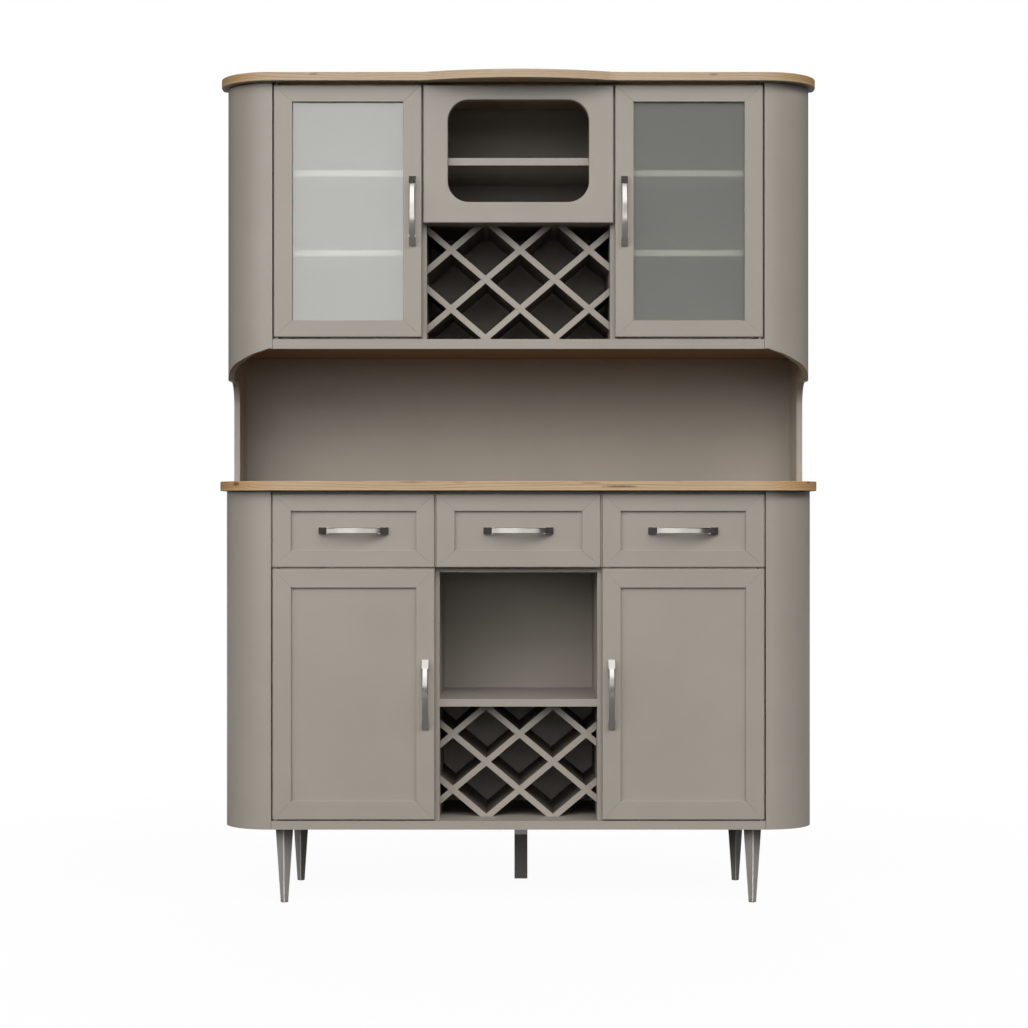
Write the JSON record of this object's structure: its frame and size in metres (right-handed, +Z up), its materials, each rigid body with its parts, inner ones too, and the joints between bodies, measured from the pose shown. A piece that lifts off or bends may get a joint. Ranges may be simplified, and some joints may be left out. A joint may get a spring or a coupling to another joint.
{
  "type": "buffet with hutch",
  "caption": "Painted buffet and hutch with quarter-round ends, oak counter and bowed oak top, framed doors, frosted glass, drawers, open niches and lattice wine racks on tapered legs.",
  "frame": {"origin": "on the floor, under the middle of the box round the whole piece", "axes": "+X to the right seen from the front, +Y from front to back, +Z up"},
  "size_m": [1.225, 0.402, 1.6864],
  "materials": {
    "painted_carcass": "satin greige paint on board",
    "painted_fronts": "satin greige paint on mitred frames and panels",
    "oak": "matt oiled oak",
    "satin_nickel": "satin nickel",
    "frosted_glass": "frosted",
    "drawer_board": "pale matt board",
    "leg_metal": "satin grey",
    "glide_nylon": "matt",
    "zinc_hardware": "zinc plated"
  },
  "bodies": {
    "cabinet": {"base_back_panel": "painted_carcass", "base_cupboard_shelves": "painted_carcass", "base_dividers": "painted_carcass", "base_drawer_decks": "painted_carcass", "base_end_left": "painted_carcass", "base_end_right": "painted_carcass", "base_floor_panel": "painted_carcass", "base_niche_shelf": "painted_carcass", "base_sides": "painted_carcass", "base_stretchers": "painted_carcass", "base_wine_rack": "painted_carcass", "centre_leg": "leg_metal", "corner_posts": "painted_carcass", "counter": "oak", "door_pivots": "zinc_hardware", "drawer_channels": "zinc_hardware", "hutch_back_panel": "painted_carcass", "hutch_dividers": "painted_carcass", "hutch_end_left": "painted_carcass", "hutch_end_right": "painted_carcass", "hutch_fascia": "painted_carcass", "hutch_floor_panel": "painted_carcass", "hutch_niche_floor": "painted_carcass", "hutch_niche_shelf": "painted_carcass", "hutch_shelves": "painted_carcass", "hutch_sides": "painted_carcass", "hutch_top_board": "oak", "hutch_wine_rack": "painted_carcass", "leg_glides": "glide_nylon", "leg_plates": "zinc_hardware", "shelf_pins": "zinc_hardware", "tapered_legs": "leg_metal"},
    "base_door_left": {"base_door_left_bushes": "zinc_hardware", "base_door_left_frame": "painted_fronts", "base_door_left_panel": "painted_fronts", "base_door_left_pull": "satin_nickel"},
    "base_door_right": {"base_door_right_bushes": "zinc_hardware", "base_door_right_frame": "painted_fronts", "base_door_right_panel": "painted_fronts", "base_door_right_pull": "satin_nickel"},
    "hutch_door_left": {"hutch_door_left_bushes": "zinc_hardware", "hutch_door_left_frame": "painted_fronts", "hutch_door_left_glass": "frosted_glass", "hutch_door_left_pull": "satin_nickel"},
    "hutch_door_right": {"hutch_door_right_bushes": "zinc_hardware", "hutch_door_right_frame": "painted_fronts", "hutch_door_right_glass": "frosted_glass", "hutch_door_right_pull": "satin_nickel"},
    "drawer_left": {"drawer_left_box": "drawer_board", "drawer_left_front": "painted_fronts", "drawer_left_pull": "satin_nickel", "drawer_left_rails": "zinc_hardware"},
    "drawer_middle": {"drawer_middle_box": "drawer_board", "drawer_middle_front": "painted_fronts", "drawer_middle_pull": "satin_nickel", "drawer_middle_rails": "zinc_hardware"},
    "drawer_right": {"drawer_right_box": "drawer_board", "drawer_right_front": "painted_fronts", "drawer_right_pull": "satin_nickel", "drawer_right_rails": "zinc_hardware"}
  },
  "joints": [
    {"name": "base_door_left_hinge", "type": "hinge", "parent": "cabinet", "child": "base_door_left", "pos_m": [-0.4908, -0.165, 0.4273], "axis": [0, 0, -1], "range_deg": [0, 100]},
    {"name": "base_door_right_hinge", "type": "hinge", "parent": "cabinet", "child": "base_door_right", "pos_m": [0.4908, -0.165, 0.4273], "axis": [0, 0, 1], "range_deg": [0, 100]},
    {"name": "hutch_door_left_hinge", "type": "hinge", "parent": "cabinet", "child": "hutch_door_left", "pos_m": [-0.4908, -0.139, 1.4072], "axis": [0, 0, -1], "range_deg": [0, 100]},
    {"name": "hutch_door_right_hinge", "type": "hinge", "parent": "cabinet", "child": "hutch_door_right", "pos_m": [0.4908, -0.139, 1.4072], "axis": [0, 0, 1], "range_deg": [0, 100]},
    {"name": "drawer_left_slide", "type": "slide", "parent": "cabinet", "child": "drawer_left", "axis": [0, -1, 0], "range_m": [0, 0.25]},
    {"name": "drawer_middle_slide", "type": "slide", "parent": "cabinet", "child": "drawer_middle", "axis": [0, -1, 0], "range_m": [0, 0.25]},
    {"name": "drawer_right_slide", "type": "slide", "parent": "cabinet", "child": "drawer_right", "axis": [0, -1, 0], "range_m": [0, 0.25]}
  ]
}
